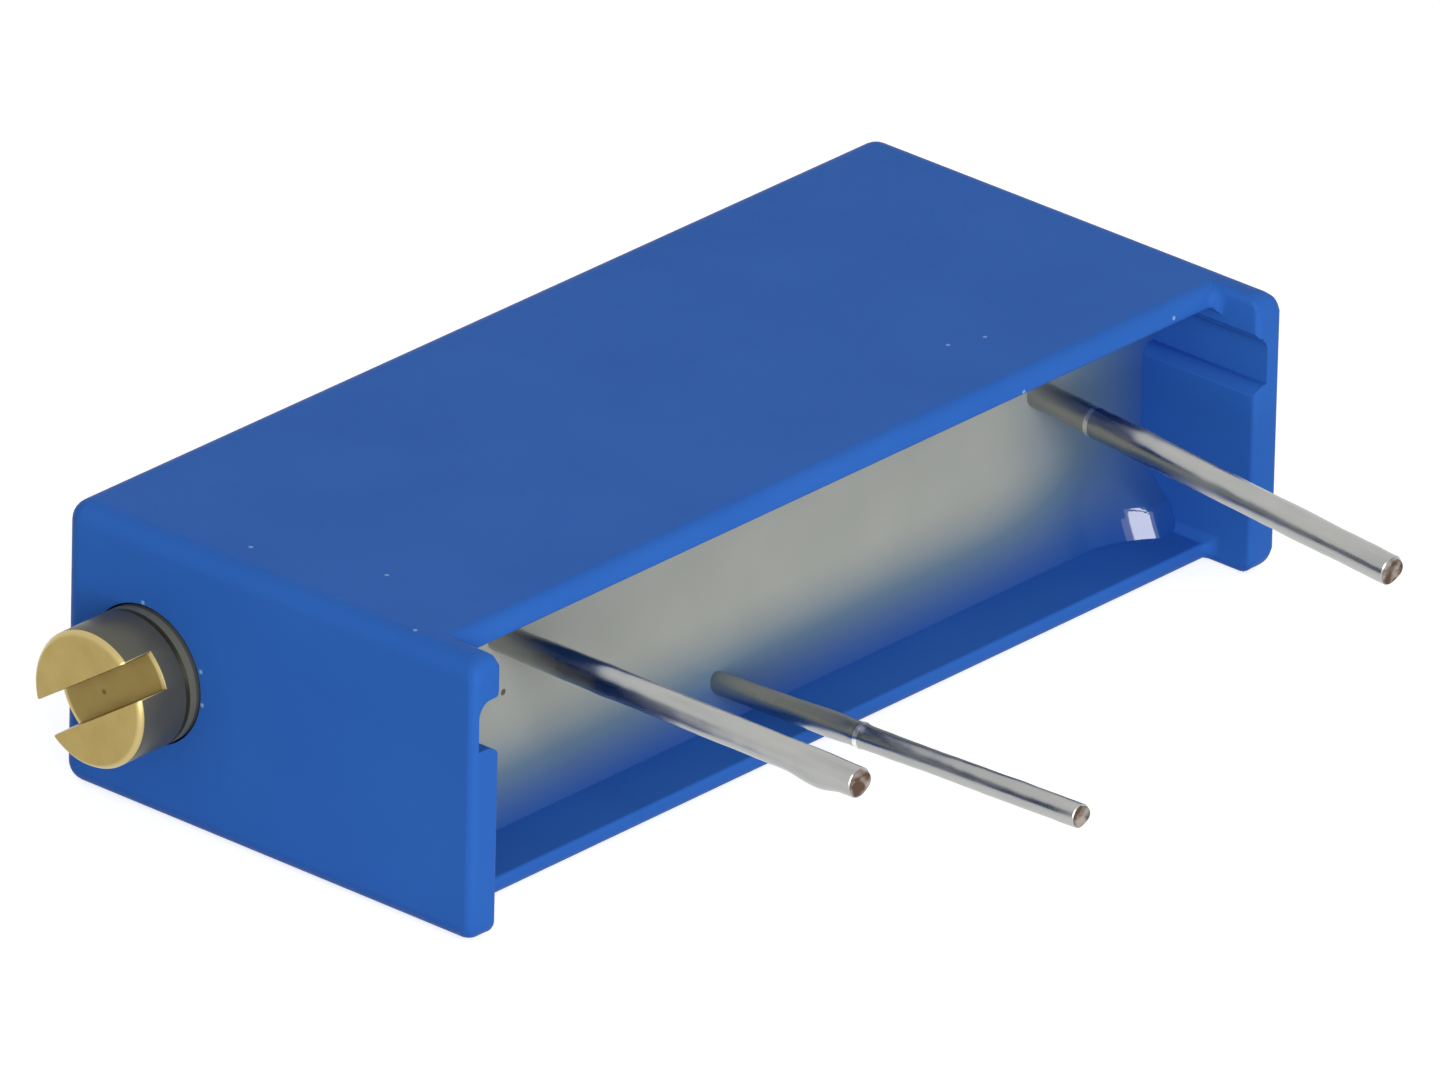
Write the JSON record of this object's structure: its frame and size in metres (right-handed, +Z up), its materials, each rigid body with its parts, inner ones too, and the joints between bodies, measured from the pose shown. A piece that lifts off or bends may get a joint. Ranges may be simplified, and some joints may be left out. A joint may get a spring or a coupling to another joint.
{
  "type": "multiturn trimmer potentiometer",
  "caption": "Flat rectangular blue trimmer potentiometer with a slotted brass adjusting screw in its end, wire pins on its open potted side and two standoff feet.",
  "frame": {"origin": "middle of the broad face of the body that rests on the surface", "axes": "+X along the body from the adjusting screw to the far end, -Y the way the pins point, +Z up through the body's thickness"},
  "size_m": [0.0204, 0.0139, 0.0048],
  "materials": {
    "blue_plastic": "moulded thermoplastic, semi-gloss on the walls of the recess, satin outside",
    "turned_brass": "turned, with fine tool marks, slightly dull",
    "black_rubber": "smooth silicone rubber",
    "spring_steel": "bright stamped spring sheet",
    "white_nylon": "moulded, matt",
    "spring_alloy": "gold-coloured spring alloy, bright",
    "alumina": "fired white ceramic, matt",
    "cermet_ink": "fired resistive ink, matt",
    "silver_print": "fired silver alloy print, satin",
    "tinned_wire": "copper wire dipped in solder, glossy and slightly uneven",
    "solder": "bright solder",
    "potting_resin": "beige-grey epoxy, glossy, cast in place"
  },
  "bodies": {
    "body": {"housing": "blue_plastic", "retaining_clip": "spring_steel", "substrate": "alumina", "resistive_track": "cermet_ink", "collector_track": "silver_print", "end_pad_1": "silver_print", "end_pad_3": "silver_print", "pin_1": "tinned_wire", "pin_2": "tinned_wire", "pin_3": "tinned_wire", "solder_1": "solder", "solder_2": "solder", "solder_3": "solder", "potting_resin": "potting_resin"},
    "screw": {"adjusting_screw": "turned_brass", "o_ring": "black_rubber"},
    "slider": {"carriage": "white_nylon", "wiper_carrier": "spring_alloy", "element_brush": "spring_alloy", "collector_brush": "spring_alloy"}
  },
  "joints": [
    {"name": "screw_turn", "type": "hinge", "parent": "body", "child": "screw", "pos_m": [-0.00953, 0.00253, 0.00242], "axis": [1, 0, 0], "range_deg": [-2700, 2700]},
    {"name": "carriage_slide", "type": "slide", "parent": "body", "child": "slider", "axis": [1, 0, 0], "range_m": [-0.0054, 0.0054]}
  ],
  "couplings": [
    {"joint": "screw_turn", "follows": "carriage_slide", "rad_per_m": -8726.6}
  ]
}
